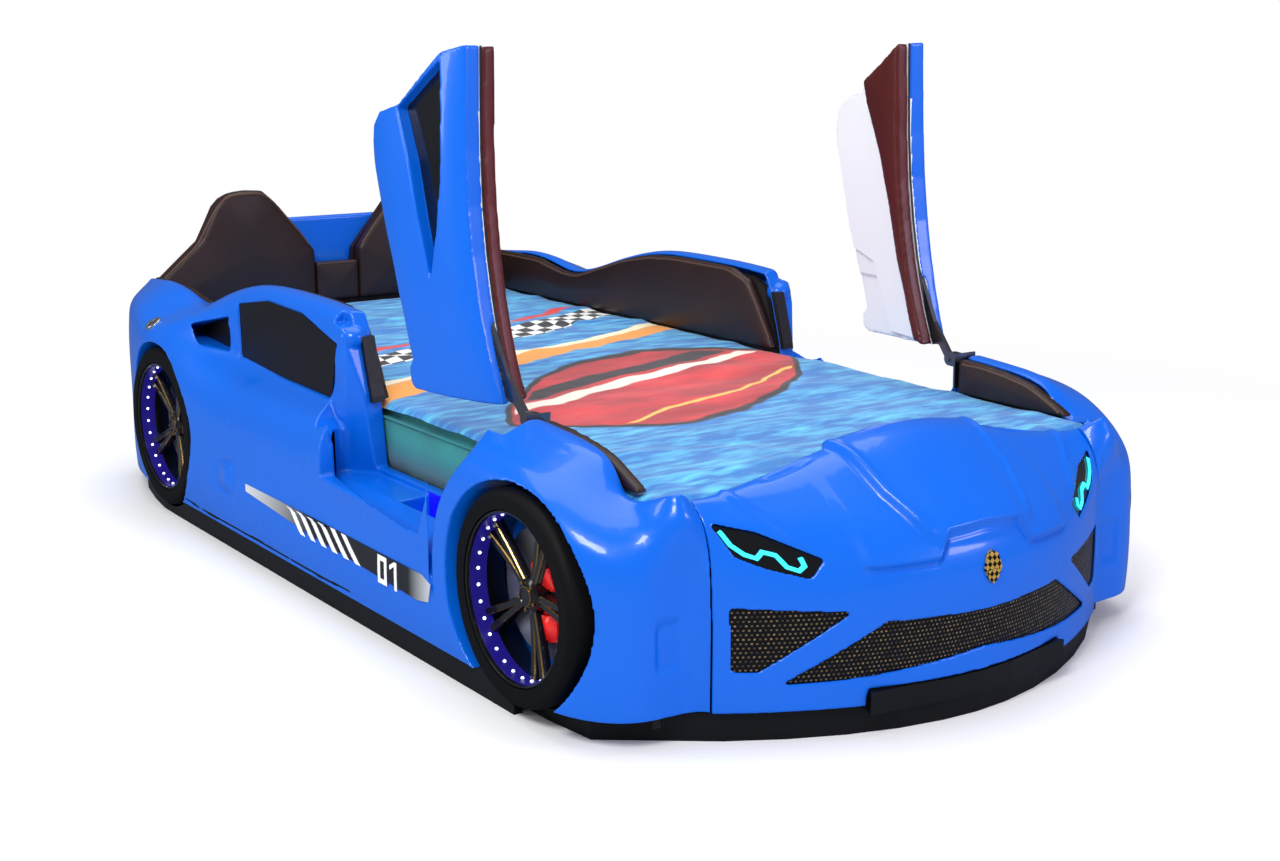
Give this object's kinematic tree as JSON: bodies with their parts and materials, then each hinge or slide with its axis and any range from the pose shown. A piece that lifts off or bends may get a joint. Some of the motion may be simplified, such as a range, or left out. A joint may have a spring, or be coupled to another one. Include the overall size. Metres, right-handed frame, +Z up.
{
  "type": "car bed for children",
  "caption": "Child's single bed shaped like a low blue sports car, with doors that swing up on front hinges, a slatted base, a mattress and an upholstered headboard.",
  "frame": {"origin": "on the floor, in the middle of the bed's length and width", "axes": "+X across the bed to its left side, +Y from the nose to the headboard, +Z up"},
  "size_m": [1.1884, 2.1845, 0.9594],
  "materials": {
    "badge": "chequered",
    "bedspread_cloth": "blue printed cover",
    "black_plastic": "black",
    "blue_paint": "glossy blue paint on a moulded shell",
    "board": "laminated board",
    "brake_disc": "brushed",
    "dark_gloss": "glossy black",
    "dark_leather": "dark stitched",
    "fuel_cap": "polished with dark spokes",
    "grille": "dark mesh",
    "lamp_black": "smoked",
    "light_guide": "light blue glow",
    "light_strip": "dark blue strip with light dots",
    "mattress_cloth": "teal ticking",
    "red_paint": "glossy red",
    "rim_black": "black spokes with gold edges",
    "sill_light": "deep blue glow",
    "steel": "brushed",
    "stripe": null,
    "tyre": "black rubber look",
    "white_panel": "white"
  },
  "bodies": {
    "bed": {"bedspread": "bedspread_cloth", "brake_calipers": "red_paint", "brake_discs": "brake_disc", "centre_beam": "board", "centre_legs": "board", "fender_pad_left": "dark_leather", "fender_pad_right": "dark_leather", "floor_glides": "black_plastic", "foot_board": "board", "front_cowl": "blue_paint", "front_splitter": "black_plastic", "fuel_caps": "fuel_cap", "grille_centre": "grille", "grille_sides": "grille", "headboard_core": "board", "headboard_pad_centre": "dark_leather", "headboard_pad_left": "dark_leather", "headboard_pad_right": "dark_leather", "headlamp_housings": "lamp_black", "headlamp_light_guides": "light_guide", "hinge_bracket_left": "steel", "hinge_bracket_right": "steel", "hinge_pin_left": "steel", "hinge_pin_right": "steel", "mattress": "mattress_cloth", "nose_badge": "badge", "pillar_trims": "dark_leather", "rear_panel": "blue_paint", "rim_front_left": "rim_black", "rim_front_right": "rim_black", "rim_rear_left": "rim_black", "rim_rear_right": "rim_black", "side_board_left": "board", "side_board_right": "board", "side_pad_left": "dark_leather", "side_pad_right": "dark_leather", "side_shell_left": "blue_paint", "side_shell_right": "blue_paint", "side_skirts": "black_plastic", "side_stripes": "stripe", "sill_lights": "sill_light", "slat_ledgers": "board", "slats": "board", "tyre_front_left": "tyre", "tyre_front_right": "tyre", "tyre_rear_left": "tyre", "tyre_rear_right": "tyre", "wheel_light_strips": "light_strip", "windows_left": "dark_gloss", "windows_right": "dark_gloss"},
    "right_door_leaf": {"door_shell_right": "blue_paint", "door_intake_right": "dark_gloss", "door_panel_right": "white_panel", "door_arm_right": "steel", "door_trim_right": "dark_leather"},
    "left_door_leaf": {"door_shell_left": "blue_paint", "door_intake_left": "dark_gloss", "door_panel_left": "white_panel", "door_arm_left": "steel", "door_trim_left": "dark_leather"}
  },
  "joints": [
    {"name": "right_door", "type": "hinge", "parent": "bed", "child": "right_door_leaf", "pos_m": [-0.414, -0.545, 0.402], "axis": [0.9911, 0.1305, -0.0262], "range_deg": [-54, 0]},
    {"name": "left_door", "type": "hinge", "parent": "bed", "child": "left_door_leaf", "pos_m": [0.414, -0.545, 0.402], "axis": [0.9911, -0.1305, 0.0262], "range_deg": [-54, 0]}
  ]
}
